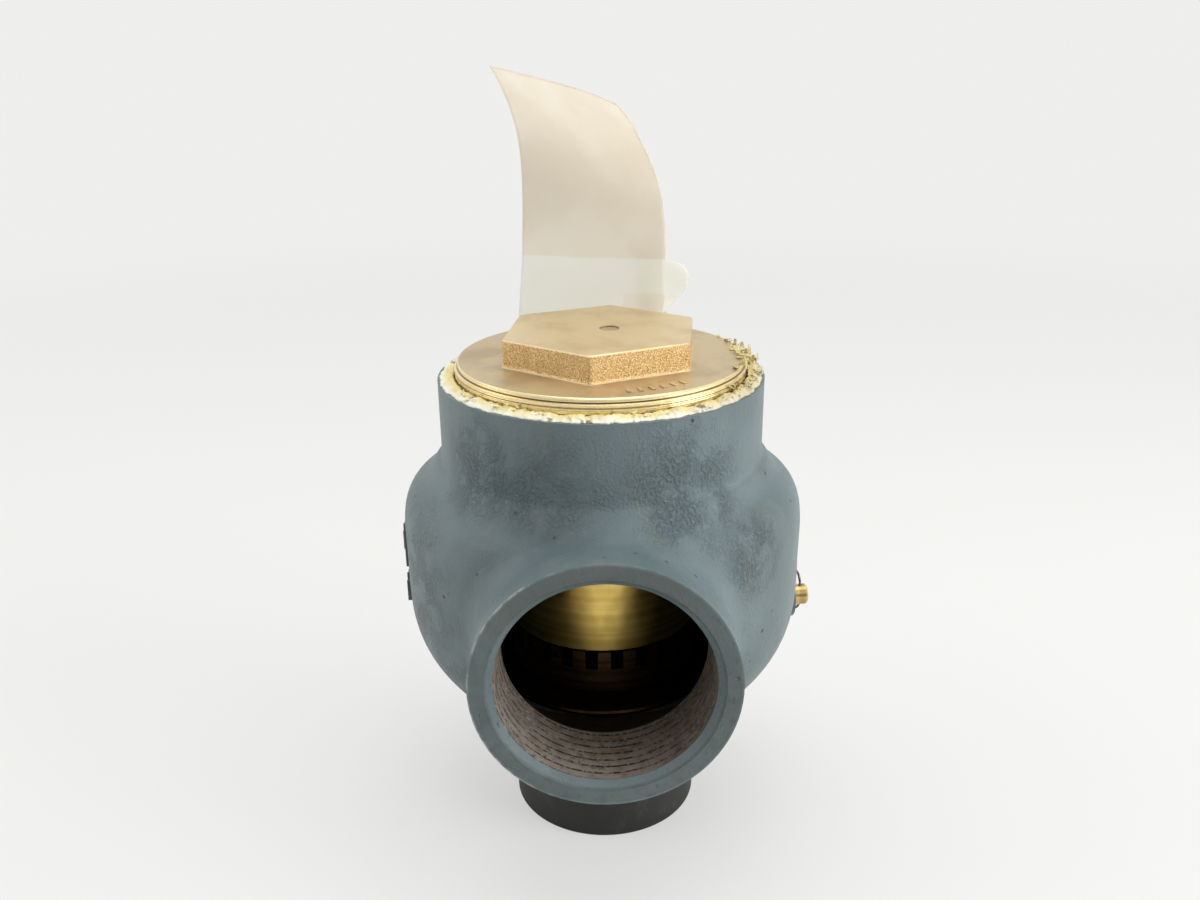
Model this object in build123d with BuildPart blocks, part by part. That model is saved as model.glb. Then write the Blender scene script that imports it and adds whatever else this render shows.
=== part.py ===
from build123d import *
from math import acos, cos, degrees, hypot, pi, radians, sin
import os

# Spring-loaded pressure relief valve: threaded inlet below, threaded side outlet, hexagon cap on top.
# The origin is on the valve's vertical axis, at the flat bottom of the inlet's thread protector.
# +Z runs up the inlet axis. The outlet faces -Y. Everything is in millimetres.

# Thread protector pushed over the inlet thread
protector_radius = 34.3
protector_bore = 30.6
protector_floor = 3.0
protector_height = 27.5
protector_edge = 0.8

# Body casting
neck_radius = 55.9
neck_bore = 46.0
rim_z = 168.4
barrel_radius = 70.2
bowl_z = 91.4
bowl_round = 45.0
shoulder_z = 120.0
shoulder_round = 16.0
neck_fillet_z = 146.5
wall = 7.0
boss_radius = 38.0
boss_bottom_z = 28.0
nozzle_bore = 32.0
spot_radius = 41.0
spot_z = 54.5
ledge_radius = 42.0
ledge_z = 136.5
ledge_under_z = 126.0

# Outlet boss, with a 2-1/2 inch pipe thread: the bore is at the thread's major radius
outlet_z = 93.5
outlet_face = 81.5
outlet_radius = 41.6
outlet_bore = 36.5
outlet_bore_end = 55.0
outlet_passage = 37.6
outlet_blend = 14.0

# Inlet nozzle, with a 2 inch pipe thread at its foot
inlet_thread_radius = 29.95
inlet_taper = 1 / 32
nozzle_foot_z = 3.2
inlet_bore = 24.5
throat_radius = 16.26
throat_z = 58.0
collar_radius = 40.0
collar_height = 3.0
nozzle_neck = 27.0
seat_z = 75.0
seat_width = 2.6

# Blowdown ring on the nozzle, and the pin that locks it
ring_outer = 34.0
ring_bottom_z = 62.0
ring_top_z = 77.6
ring_step_z = 71.0
ring_upper_bore = 30.5
notch_count = 24
notch_width = 4.4
notch_depth = 6.8
pin_azimuth = 7.5
pin_z = 76.0
pin_thread_radius = 4.0
pin_stem_radius = 2.0
pin_tip_radius = 1.5
pin_tip_reach = 31.2
pin_head_radius = 3.9
pin_head_height = 5.4
pin_washer_radius = 5.4
pin_washer_height = 0.9
pad_radius = 8.0
pad_face = 72.0

# Lock wire through the ring pin's head, the lug behind it and the seal
wire_radius = 0.45
wire_hole = 0.7
lug_azimuth = 25.0
lug_width = 3.5
lug_height = 9.0
lug_reach = 75.5
seal_radius = 4.5
seal_width = 4.0

# Guide sleeve and the disc that slides in it
guide_bottom_z = 78.0
guide_outer = 34.0
guide_bore = 29.0
guide_flange_height = 4.5
slide_gap = 0.07
holder_radius = guide_bore - slide_gap
holder_top_z = 95.0
holder_bottom_z = 76.2
disc_radius = 20.0
disc_height = 5.0
disc_shank = 7.0
holder_web_z = 86.0

# Spindle, spring and washers
spindle_radius = 6.0
spindle_top_z = 158.0
spindle_shoulder = 9.0
spring_bottom_z = 100.0
spring_top_z = 141.0
spring_mean_radius = 22.5
spring_wire = 4.0
spring_active_turns = 3.5
washer_radius = 26.5
washer_thickness = 4.0
washer_hub = 20.0

# Bridge across the neck, adjusting screw and lock nut
bridge_bottom_z = 148.0
bridge_top_z = 157.0
screw_radius = 11.0
screw_bottom_z = 145.0
screw_shoulder_z = 168.0
screw_top_z = 174.0
screw_square = 14.0
thread_gap = 0.06
nut_washer_radius = 17.5
nut_washer_height = 1.5
nut_across_flats = 32.0
nut_height = 7.5

# Hexagon cap, its gasket and the sealing compound round it
gasket_height = 0.9
gasket_radius = 48.6
cap_skirt_bottom_z = 158.0
cap_skirt_bore = 38.0
cap_step_radius = 50.0
cap_step_z = 172.8
cap_flange_radius = 49.0
cap_flange_z = 174.4
hex_radius = 35.6
hex_turn = -36.1
hex_top_z = 183.8
cap_cavity_radius = 23.5
cap_cavity_z = 177.2
compound_inner = 50.3
compound_outer = 55.4
compound_top_z = 171.4

# Instruction tag standing behind the cap, with its foot bedded in the compound
tag_width = 55.8
tag_height = 105.0
tag_thickness = 0.5
tag_foot = Vector(-3.0, 52.9, 169.8)
tag_turn = -10.3
tag_lean = 7.2
tag_bend_slant = -26.6
# Bends per mm at even steps up the tag: almost flat, forwards, almost flat, forwards again
tag_bends = (0.004, 0.0035, -0.0323, -0.0029, -0.05)
tag_bend_start = -20.0
tag_bend_step = 35.0

os.makedirs("parts", exist_ok=True)


def write(piece, name):
    """Labels a finished piece and writes it as one STEP file."""
    piece.part.label = name
    export_step(piece.part, f"parts/{name}.step")


def around(azimuth, radius, z):
    """A point given by its azimuth about the valve's axis, its distance from the axis and its height."""
    return Vector(radius * cos(radians(azimuth)), radius * sin(radians(azimuth)), z)


def facing_out(azimuth, radius, z):
    """A plane whose normal points away from the valve's axis, with its local y upwards."""
    outward = around(azimuth, 1, 0)
    sideways = Vector(-outward.Y, outward.X, 0)
    return Plane(origin=around(azimuth, radius, z), x_dir=sideways, z_dir=outward)


bowl_centre = barrel_radius - bowl_round
inner_round = bowl_round - wall
outlet_plane = Plane(origin=(0, 0, outlet_z), x_dir=(0, 0, -1), z_dir=(0, -1, 0))

# Valve body: one casting with the inlet boss, bowl, barrel, shoulder, neck and outlet boss.
# Its skin is one smooth curve, so the outlet's blend can run from the bowl up onto the shoulder.


def on_round(centre_radius, centre_z, round_radius, angle):
    """A point on a round of the body's outline, at this angle above the horizontal."""
    return (
        centre_radius + round_radius * cos(radians(angle)),
        centre_z + round_radius * sin(radians(angle)),
    )


bowl_foot_angle = -degrees(acos((boss_radius - bowl_centre) / bowl_round))
bowl_angles = [bowl_foot_angle * share for share in (1, 0.75, 0.5, 0.25, 0)]
skin = [on_round(bowl_centre, bowl_z, bowl_round, angle) for angle in bowl_angles]
skin.append((barrel_radius, (bowl_z + shoulder_z) / 2))
shoulder_centre = barrel_radius - shoulder_round
skin += [on_round(shoulder_centre, shoulder_z, shoulder_round, angle) for angle in (0, 21, 42, 62)]
skin.append((neck_radius + 1.7, neck_fillet_z - 6.5))
skin.append((neck_radius, neck_fillet_z))
inner_foot_angle = degrees(acos((spot_radius - bowl_centre) / inner_round))
spot_meets_bowl = bowl_z - inner_round * sin(radians(inner_foot_angle))
inner_shoulder = ledge_under_z - 13.0

with BuildPart() as valve_body:
    with BuildSketch(Plane.XZ):
        with BuildLine():
            Polyline((0, rim_z), (0, boss_bottom_z), (boss_radius, boss_bottom_z), skin[0])
            Spline(*skin, tangents=((0.94, 0.34), (0, 1)))
            Polyline(skin[-1], (neck_radius, rim_z), (0, rim_z))
        make_face()
    revolve(axis=Axis.Z)
    boss_edges = valve_body.edges().filter_by(GeomType.CIRCLE).sort_by(Axis.Z)
    fillet(boss_edges[1], radius=4)
    with BuildSketch(outlet_plane):
        Circle(outlet_radius)
    before = valve_body.edges()
    extrude(amount=outlet_face)
    meeting = valve_body.edges() - before
    meeting = meeting.filter_by(lambda edge: edge.geom_type not in (GeomType.CIRCLE, GeomType.LINE))
    fillet(meeting, radius=outlet_blend)
    # Raised pad for the ring pin and the drilled lug for its lock wire
    with BuildSketch(facing_out(pin_azimuth, bowl_centre, pin_z)):
        Circle(pad_radius)
    extrude(amount=pad_face - bowl_centre)
    with BuildSketch(facing_out(lug_azimuth, bowl_centre + wall, pin_z + 4)):
        RectangleRounded(lug_width, lug_height, 1.5)
    extrude(amount=lug_reach - bowl_centre - wall)
    # Plain raised bars in place of the foundry's marks
    for bar_z, bar_count, bar_height in [(110.5, 5, 7.0), (101, 4, 8.0), (90.5, 5, 8.0)]:
        for step in range(bar_count):
            with BuildSketch(facing_out(175 + 3.4 * step, bowl_centre, bar_z + step % 2)):
                RectangleRounded(1.6, bar_height, 0.7)
            extrude(amount=barrel_radius + 1.1 - bowl_centre)
    # Chamber, guide ledge and neck bore
    with BuildSketch(Plane.XZ):
        with BuildLine():
            Polyline(
                (0, rim_z),
                (0, boss_bottom_z),
                (nozzle_bore, boss_bottom_z),
                (nozzle_bore, spot_z),
                (spot_radius, spot_z),
                (spot_radius, spot_meets_bowl),
            )
            CenterArc((bowl_centre, bowl_z), inner_round, -inner_foot_angle, inner_foot_angle)
            Line((barrel_radius - wall, bowl_z), (barrel_radius - wall, inner_shoulder))
            CenterArc((barrel_radius - wall - 13, inner_shoulder), 13, 0, 90)
            Polyline(
                (barrel_radius - wall - 13, ledge_under_z),
                (ledge_radius, ledge_under_z),
                (ledge_radius, ledge_z),
                (neck_bore, ledge_z),
                (neck_bore, rim_z),
                (0, rim_z),
            )
        make_face()
    revolve(axis=Axis.Z, mode=Mode.SUBTRACT)
    # Outlet bore and the passage behind it
    with BuildSketch(outlet_plane.offset(outlet_bore_end)):
        Circle(outlet_bore)
    extrude(amount=outlet_face - outlet_bore_end, mode=Mode.SUBTRACT)
    with BuildSketch(outlet_plane.offset(guide_outer)):
        Circle(outlet_passage)
    extrude(amount=outlet_bore_end - guide_outer, mode=Mode.SUBTRACT)
    # Drillings for the ring pin and the lock wire
    with BuildSketch(facing_out(pin_azimuth, ring_outer, pin_z)):
        Circle(pin_thread_radius)
    extrude(amount=pad_face, mode=Mode.SUBTRACT)
    lug_centre = around(lug_azimuth, 72.8, pin_z + 4)
    across_lug = around(lug_azimuth + 90, 1, 0)
    with BuildSketch(Plane(origin=lug_centre, z_dir=across_lug)):
        Circle(wire_hole)
    extrude(amount=lug_width, both=True, mode=Mode.SUBTRACT)
write(valve_body, "valve_body")

# Inlet nozzle: male pipe thread below, collar seated on the chamber floor, lapped seat on top.
nozzle_foot_radius = inlet_thread_radius - (boss_bottom_z - nozzle_foot_z) * inlet_taper
collar_top_z = spot_z + collar_height
with BuildPart() as inlet_nozzle:
    with BuildSketch(Plane.XZ):
        with BuildLine():
            Polyline(
                (inlet_bore, nozzle_foot_z),
                (nozzle_foot_radius, nozzle_foot_z),
                (inlet_thread_radius, boss_bottom_z),
                (nozzle_bore, boss_bottom_z),
                (nozzle_bore, spot_z),
                (collar_radius, spot_z),
                (collar_radius, collar_top_z),
                (nozzle_neck, collar_top_z),
                (nozzle_neck, ring_step_z),
                (throat_radius + seat_width, seat_z),
                (throat_radius, seat_z),
                (throat_radius, throat_z),
                (inlet_bore, throat_z - 20),
                close=True,
            )
        make_face()
    revolve(axis=Axis.Z)
    foot_edge = inlet_nozzle.edges().filter_by(GeomType.CIRCLE).group_by(Axis.Z)[0].sort_by(SortBy.RADIUS)[-1]
    chamfer(foot_edge, length=1.2)
    collar_edges = inlet_nozzle.edges().filter_by(GeomType.CIRCLE).sort_by(SortBy.RADIUS)[-2:]
    collar_edge = collar_edges.sort_by(Axis.Z)[-1]
    chamfer(collar_edge, length=0.6)
write(inlet_nozzle, "inlet_nozzle")

# Blowdown ring: threaded on the nozzle, with a notched rim that its pin locks.
with BuildPart() as blowdown_ring:
    with BuildSketch(Plane.XZ):
        with BuildLine():
            Polyline(
                (nozzle_neck, ring_bottom_z),
                (ring_outer, ring_bottom_z),
                (ring_outer, ring_top_z),
                (ring_upper_bore, ring_top_z),
                (ring_upper_bore, ring_step_z),
                (nozzle_neck, ring_step_z),
                close=True,
            )
        make_face()
    revolve(axis=Axis.Z)
    with BuildSketch(Plane.XY.offset(ring_top_z)):
        with PolarLocations((ring_upper_bore + ring_outer) / 2, notch_count, start_angle=pin_azimuth):
            Rectangle(2 * (ring_outer - ring_upper_bore), notch_width)
    extrude(amount=-notch_depth, mode=Mode.SUBTRACT)
write(blowdown_ring, "blowdown_ring")

# Ring pin: drilled brass head, thread through the body's wall, thin stem into a notch of the ring.
head_foot = pad_face + pin_washer_height
thread_end = barrel_radius - wall - 8
with BuildPart() as ring_pin:
    with BuildSketch(facing_out(pin_azimuth, head_foot, pin_z)):
        Circle(pin_head_radius)
    extrude(amount=pin_head_height)
    chamfer(ring_pin.faces().sort_by(Axis.X)[-1].edges(), length=0.5)
    with BuildSketch(facing_out(pin_azimuth, thread_end, pin_z)):
        Circle(pin_thread_radius)
    extrude(amount=head_foot - thread_end)
    with BuildSketch(facing_out(pin_azimuth, ring_outer + 3, pin_z)):
        Circle(pin_stem_radius)
    extrude(amount=thread_end - ring_outer - 3)
    with BuildSketch(facing_out(pin_azimuth, pin_tip_reach, pin_z)):
        Circle(pin_tip_radius)
    extrude(amount=ring_outer + 3 - pin_tip_reach)
    drilling = around(pin_azimuth, head_foot + pin_head_height / 2 + 0.3, pin_z - 10)
    with BuildSketch(Plane(origin=drilling)):
        Circle(wire_hole)
    extrude(amount=20, mode=Mode.SUBTRACT)
write(ring_pin, "ring_pin")

with BuildPart() as ring_pin_washer:
    with BuildSketch(facing_out(pin_azimuth, pad_face, pin_z)):
        Circle(pin_washer_radius)
        Circle(pin_thread_radius, mode=Mode.SUBTRACT)
    extrude(amount=pin_washer_height)
write(ring_pin_washer, "ring_pin_washer")

# Lock wire: one loop up through the pin's head, back through the lug, round to the seal and under it.
head_middle = head_foot + pin_head_height / 2 + 0.3
wire_route = [
    around(36.5, 73.0, 76.6),
    around(32.0, 73.4, 74.4),
    around(26.5, 73.4, 71.6),
    around(20.0, 72.6, 69.4),
    around(13.0, 71.6, 68.2),
    around(9.0, head_middle - 0.6, 68.8),
    around(7.5, head_middle, 71.2),
    around(7.5, head_middle, 81.2),
    around(8.6, head_middle - 0.3, 84.0),
    around(12.0, head_middle - 1.2, 85.2),
    around(16.0, 73.2, 83.9),
    around(20.0, 72.8, 81.4),
    around(24.0, 72.8, 80.0),
    around(28.5, 72.8, 79.9),
    around(33.0, 72.9, 79.1),
    around(36.5, 72.9, 78.4),
]


def bend_radii(route):
    """The largest bend at each corner of a route that its two runs leave room for."""
    radii = []
    for before, corner, after in zip(route, route[1:], route[2:]):
        turn = radians((corner - before).get_angle(after - corner))
        shorter = min((corner - before).length, (after - corner).length)
        radii.append(0.45 * shorter / sin(turn / 2) * cos(turn / 2))
    return radii


print("lock wire bend radii", [round(r, 1) for r in bend_radii(wire_route)])
with BuildPart() as lock_wire:
    with BuildLine() as wire_line:
        FilletPolyline(*wire_route, radius=bend_radii(wire_route))
    with BuildSketch(Plane(origin=wire_line.line @ 0, z_dir=wire_line.line % 0)):
        Circle(wire_radius)
    sweep()
wire_length = sum(edge.length for edge in wire_line.edges())
print("lock wire length", round(wire_length, 1), "volume", round(lock_wire.part.volume, 2))
print("section times length", round(pi * wire_radius**2 * wire_length, 2))
write(lock_wire, "lock_wire")

# Seal: a soft metal slug crimped flat over the wire's two ends, lying behind the lug.
with BuildPart() as wire_seal:
    with BuildSketch(facing_out(39, 72.6 - seal_width / 2, 77.5)):
        Circle(seal_radius)
    extrude(amount=seal_width)
    fillet(wire_seal.edges().filter_by(GeomType.CIRCLE), radius=0.9)
    for end, beyond in ((wire_route[0], wire_route[1]), (wire_route[-1], wire_route[-2])):
        with BuildSketch(Plane(origin=end, z_dir=(beyond - end).normalized())):
            Circle(wire_radius)
        extrude(amount=3.0, mode=Mode.SUBTRACT)
write(wire_seal, "wire_seal")

# Guide sleeve: brass tube whose flange sits on the body's ledge.
with BuildPart() as guide_sleeve:
    with BuildSketch(Plane.XZ):
        with BuildLine():
            Polyline(
                (guide_bore, guide_bottom_z),
                (guide_outer, guide_bottom_z),
                (guide_outer, ledge_z),
                (neck_bore, ledge_z),
                (neck_bore, ledge_z + guide_flange_height),
                (guide_bore, ledge_z + guide_flange_height),
                close=True,
            )
        make_face()
    revolve(axis=Axis.Z)
    mouth = guide_sleeve.edges().filter_by(GeomType.CIRCLE).group_by(Axis.Z)[0]
    chamfer(mouth, length=0.5)
write(guide_sleeve, "guide_sleeve")

# Disc holder: piston with a skirt that slides in the guide and a boss that holds the spindle.
with BuildPart() as disc_holder:
    with BuildSketch(Plane.XZ):
        with BuildLine():
            Polyline(
                (disc_shank, seat_z + disc_height),
                (disc_radius, seat_z + disc_height),
                (disc_radius, holder_bottom_z),
                (holder_radius - 1.5, holder_bottom_z),
                (holder_radius, holder_bottom_z + 1.5),
                (holder_radius, holder_top_z),
                (holder_radius - 4.5, holder_top_z),
                (holder_radius - 4.5, holder_web_z + 2),
                (12, holder_web_z + 2),
                (12, holder_top_z),
                (spindle_radius, holder_top_z),
                (spindle_radius, holder_web_z),
                (0, holder_web_z),
                (0, holder_web_z - 2),
                (disc_shank, holder_web_z - 2),
                close=True,
            )
        make_face()
    revolve(axis=Axis.Z)
    with BuildSketch(Plane.YZ):
        with Locations((0, holder_web_z + 5.5)):
            Circle(1.5)
    extrude(amount=12, both=True, mode=Mode.SUBTRACT)
    with BuildSketch(Plane.XZ):
        with Locations((disc_shank, holder_web_z - 4)):
            Circle(0.8)
    revolve(axis=Axis.Z, mode=Mode.SUBTRACT)
write(disc_holder, "disc_holder")

# Seat disc: lapped disc with a short shank, kept in the holder by a wire clip.
with BuildPart() as seat_disc:
    with BuildSketch(Plane.XZ):
        with BuildLine():
            Polyline(
                (0, seat_z + 1),
                (throat_radius - 1, seat_z + 1),
                (throat_radius - 1, seat_z),
                (disc_radius - 1, seat_z),
                (disc_radius, seat_z + 1),
                (disc_radius, seat_z + disc_height),
                (disc_shank, seat_z + disc_height),
                (disc_shank, holder_web_z - 2),
                (0, holder_web_z - 2),
                close=True,
            )
        make_face()
    revolve(axis=Axis.Z)
    with BuildSketch(Plane.XZ):
        with Locations((disc_shank, holder_web_z - 4)):
            Circle(0.8)
    revolve(axis=Axis.Z, mode=Mode.SUBTRACT)
write(seat_disc, "seat_disc")

with BuildPart() as disc_clip:
    with BuildSketch(Plane.XZ):
        with Locations((disc_shank, holder_web_z - 4)):
            Circle(0.8)
    revolve(axis=Axis.Z, revolution_arc=320)
write(disc_clip, "disc_clip")

# Spindle: carries the spring's load down to the holder, with a shoulder under the lower washer.
shoulder_top = spring_bottom_z - washer_thickness
with BuildPart() as spindle:
    with BuildSketch(Plane.XZ):
        with BuildLine():
            Polyline(
                (0, holder_web_z),
                (spindle_radius, holder_web_z),
                (spindle_radius, holder_top_z + 0.2),
                (spindle_shoulder, holder_top_z + 0.2),
                (spindle_shoulder, shoulder_top),
                (spindle_radius, shoulder_top),
                (spindle_radius, spindle_top_z - 1.5),
                (spindle_radius - 1.5, spindle_top_z),
                (0, spindle_top_z),
                close=True,
            )
        make_face()
    revolve(axis=Axis.Z)
    with BuildSketch(Plane.YZ):
        with Locations((0, holder_web_z + 5.5)):
            Circle(1.5)
    extrude(amount=12, both=True, mode=Mode.SUBTRACT)
write(spindle, "spindle")

with BuildPart() as spindle_pin:
    with BuildSketch(Plane.YZ):
        with Locations((0, holder_web_z + 5.5)):
            Circle(1.5)
    extrude(amount=11.8, both=True)
write(spindle_pin, "spindle_pin")


def spring_washer(face_z, towards, bore):
    """Profile of a stepped washer: its face meets the spring at face_z, its hub points towards the coils."""
    back = face_z - towards * washer_thickness
    hub = face_z + towards * 2.5
    Polyline(
        (bore, back),
        (washer_radius, back),
        (washer_radius, face_z),
        (washer_hub, face_z),
        (washer_hub - 1, hub),
        (bore, hub),
        close=True,
    )


with BuildPart() as lower_spring_washer:
    with BuildSketch(Plane.XZ):
        with BuildLine():
            spring_washer(spring_bottom_z, 1, spindle_radius)
        make_face()
    revolve(axis=Axis.Z)
write(lower_spring_washer, "lower_spring_washer")

with BuildPart() as upper_spring_washer:
    with BuildSketch(Plane.XZ):
        with BuildLine():
            spring_washer(spring_top_z, -1, spindle_radius + 0.5)
        make_face()
    revolve(axis=Axis.Z)
write(upper_spring_washer, "upper_spring_washer")

# Spring: closed end turns with flat ground faces, and open turns between them.
wire_half = spring_wire / 2
coil_low = spring_bottom_z + wire_half
coil_high = spring_top_z - wire_half
end_turn_pitch = spring_wire * 1.02
open_height = coil_high - coil_low - 2 * end_turn_pitch
turn_starts = [(coil_low, end_turn_pitch, end_turn_pitch)]
turn_starts.append((coil_low + end_turn_pitch, open_height / spring_active_turns, open_height))
turn_starts.append((coil_high - end_turn_pitch, end_turn_pitch, end_turn_pitch))
with BuildPart() as spring:
    turned = 0.0
    for start_z, pitch, height in turn_starts:
        with BuildLine(Plane(origin=(0, 0, start_z), x_dir=around(turned, 1, 0), z_dir=(0, 0, 1))) as coil:
            Helix(pitch=pitch, height=height, radius=spring_mean_radius)
        with BuildSketch(Plane(origin=coil.line @ 0, z_dir=coil.line % 0)):
            Circle(wire_half)
        sweep(path=coil.line, is_frenet=True)
        turned += 360 * height / pitch
    with BuildSketch(Plane.XY.offset(spring_bottom_z)):
        Circle(washer_radius + 2)
    extrude(amount=-spring_wire, mode=Mode.SUBTRACT)
    with BuildSketch(Plane.XY.offset(spring_top_z)):
        Circle(washer_radius + 2)
    extrude(amount=spring_wire, mode=Mode.SUBTRACT)
write(spring, "spring")

# Bridge: threaded plate across the neck that the adjusting screw works in, with four vent holes.
with BuildPart() as spring_bridge:
    with BuildSketch(Plane.XY.offset(bridge_bottom_z)):
        Circle(neck_bore)
        Circle(screw_radius + thread_gap, mode=Mode.SUBTRACT)
        with PolarLocations(31, 4, start_angle=45):
            Circle(5, mode=Mode.SUBTRACT)
    extrude(amount=bridge_top_z - bridge_bottom_z)
write(spring_bridge, "spring_bridge")

# Adjusting screw: hollow, so that the spindle's top can rise inside it, with a square for a key.
with BuildPart() as adjusting_screw:
    with BuildSketch(Plane.XY.offset(screw_bottom_z)):
        Circle(screw_radius)
    extrude(amount=screw_shoulder_z - screw_bottom_z)
    with BuildSketch(Plane.XY.offset(screw_shoulder_z)):
        Rectangle(screw_square, screw_square)
    extrude(amount=screw_top_z - screw_shoulder_z)
    with BuildSketch(Plane.XY.offset(screw_bottom_z)):
        Circle(spindle_radius + 0.08)
    extrude(amount=screw_top_z - 3 - screw_bottom_z, mode=Mode.SUBTRACT)
write(adjusting_screw, "adjusting_screw")

with BuildPart() as lock_nut_washer:
    with BuildSketch(Plane.XY.offset(bridge_top_z)):
        Circle(nut_washer_radius)
        Circle(screw_radius + 0.4, mode=Mode.SUBTRACT)
    extrude(amount=nut_washer_height)
write(lock_nut_washer, "lock_nut_washer")

nut_bottom_z = bridge_top_z + nut_washer_height
with BuildPart() as lock_nut:
    with BuildSketch(Plane.XY.offset(nut_bottom_z)):
        RegularPolygon(nut_across_flats / 2, 6, major_radius=False)
        Circle(screw_radius + thread_gap, mode=Mode.SUBTRACT)
    extrude(amount=nut_height)
    chamfer(lock_nut.edges().filter_by(GeomType.CIRCLE), length=0.8)
write(lock_nut, "lock_nut")

# Cap gasket: flat ring on the neck's rim, under the cap's flange.
with BuildPart() as cap_gasket:
    with BuildSketch(Plane.XY.offset(rim_z)):
        Circle(gasket_radius)
        Circle(neck_bore + 0.3, mode=Mode.SUBTRACT)
    extrude(amount=gasket_height)
write(cap_gasket, "cap_gasket")

# Hexagon cap: hollow cast plug with a threaded skirt, a turned flange and a cast hexagon.
skirt_radius = neck_bore - thread_gap
flange_bottom_z = rim_z + gasket_height
with BuildPart() as hex_cap:
    with BuildSketch(Plane.XZ):
        with BuildLine():
            Polyline(
                (0, cap_flange_z),
                (cap_flange_radius, cap_flange_z),
                (cap_flange_radius, cap_step_z),
                (cap_step_radius, cap_step_z - 0.3),
                (cap_step_radius, flange_bottom_z),
                (skirt_radius, flange_bottom_z),
                (skirt_radius, cap_skirt_bottom_z),
                (0, cap_skirt_bottom_z),
                close=True,
            )
        make_face()
    revolve(axis=Axis.Z)
    flange_edge = hex_cap.edges().filter_by(GeomType.CIRCLE).group_by(Axis.Z)[-1]
    chamfer(flange_edge, length=0.35)
    with BuildSketch(Plane.XY.offset(cap_flange_z - 1)) as hexagon:
        RegularPolygon(hex_radius, 6, rotation=hex_turn)
        fillet(hexagon.vertices(), radius=1.6)
    extrude(amount=hex_top_z - cap_flange_z + 1)
    hexagon_root = hex_cap.edges().filter_by(Plane.XY)
    hexagon_root = hexagon_root.filter_by_position(Axis.Z, cap_flange_z - 0.1, cap_flange_z + 0.1)
    hexagon_root = [e for e in hexagon_root if hypot((e @ 0.5).X, (e @ 0.5).Y) < hex_radius + 1]
    fillet(hexagon_root, radius=1.2)
    fillet(hex_cap.edges().group_by(Axis.Z)[-1], radius=0.5)
    # Shallow round centre mark on top, and plain bars in place of cast figures on the flange
    with BuildSketch(Plane.XY.offset(hex_top_z)):
        with Locations((3, 0)):
            Circle(3.2)
    extrude(amount=-0.35, mode=Mode.SUBTRACT)
    with BuildSketch(Plane.XY.offset(cap_flange_z)):
        for step in range(6):
            with PolarLocations(42.5, 1, start_angle=-79 + 5.2 * step):
                Rectangle(3.4, 1.1)
    extrude(amount=0.35)
    # Hollow underside
    with BuildSketch(Plane.XY.offset(cap_skirt_bottom_z)):
        Circle(cap_skirt_bore)
    extrude(amount=flange_bottom_z - cap_skirt_bottom_z, mode=Mode.SUBTRACT)
    with BuildSketch(Plane.XY.offset(flange_bottom_z)):
        Circle(cap_cavity_radius)
    extrude(amount=cap_cavity_z - flange_bottom_z, mode=Mode.SUBTRACT)
write(hex_cap, "hex_cap")



def tag_bend(along):
    """How sharply the tag bends, per mm, at a distance across its bend lines."""
    steps = min(max((along - tag_bend_start) / tag_bend_step, 0.0), len(tag_bends) - 1.001)
    below = int(steps)
    return tag_bends[below] + (tag_bends[below + 1] - tag_bends[below]) * (steps - below)


def on_tag(across, up):
    """Point of the tag's middle surface, from mm across its foot and up from it on the flat tag."""
    foot_line = Vector(1, 0, 0).rotate(Axis.Z, tag_turn)
    upright = Vector(0, 0, 1).rotate(Axis((0, 0, 0), foot_line), -tag_lean)
    backwards = upright.cross(foot_line)
    slant = radians(tag_bend_slant)
    along_bends = foot_line * cos(slant) + upright * sin(slant)
    over_bends = upright * cos(slant) - foot_line * sin(slant)
    reach = up * cos(slant) - across * sin(slant)
    steps = 60
    length = reach / steps
    heading = 0.0
    run = 0.0
    rise = 0.0
    for step in range(steps):
        heading += tag_bend((step + 0.5) * length) * length
        run += cos(heading) * length
        rise += sin(heading) * length
    flat = along_bends * (across * cos(slant) + up * sin(slant))
    return tag_foot + flat + over_bends * run + backwards * rise


# Instruction tag: sheet of coated paper with bends that run slantwise across it.
tag_columns = [tag_width * (step / 12 - 0.5) for step in range(13)]
tag_rows = [tag_height * step / 24 for step in range(25)]
with BuildPart() as instruction_tag:
    tag_points = [[on_tag(across, up) for up in tag_rows] for across in tag_columns]
    thicken(Face.make_surface_from_array_of_points(tag_points), amount=tag_thickness / 2, both=True)
write(instruction_tag, "instruction_tag")

# Sealing compound: bead squeezed out round the cap's flange on the neck's rim, with the tag's foot in it.
with BuildPart() as sealing_compound:
    with BuildSketch(Plane.XZ):
        with BuildLine():
            Polyline(
                (compound_inner, rim_z),
                (compound_outer, rim_z),
                (compound_outer - 0.6, rim_z + 1.2),
                (compound_inner + 1.2, compound_top_z),
                (compound_inner, compound_top_z),
                close=True,
            )
        make_face()
    revolve(axis=Axis.Z)
    add(instruction_tag.part, mode=Mode.SUBTRACT)
write(sealing_compound, "sealing_compound")

# Thread protector: plastic cup pushed over the inlet thread. The valve stands on its flat bottom.
with BuildPart() as thread_protector:
    with BuildSketch(Plane.XY):
        Circle(protector_radius)
    extrude(amount=protector_height)
    with BuildSketch(Plane.XY.offset(protector_floor)):
        Circle(protector_bore)
    extrude(amount=protector_height - protector_floor, mode=Mode.SUBTRACT)
    outer_rims = thread_protector.edges().filter_by(GeomType.CIRCLE)
    fillet([outer_rims.group_by(Axis.Z)[0][0]], radius=protector_edge)
write(thread_protector, "thread_protector")
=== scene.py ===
from math import cos, pi, radians, sin
from random import Random

import bmesh
import bpy
from mathutils import Matrix, Vector, noise


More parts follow.
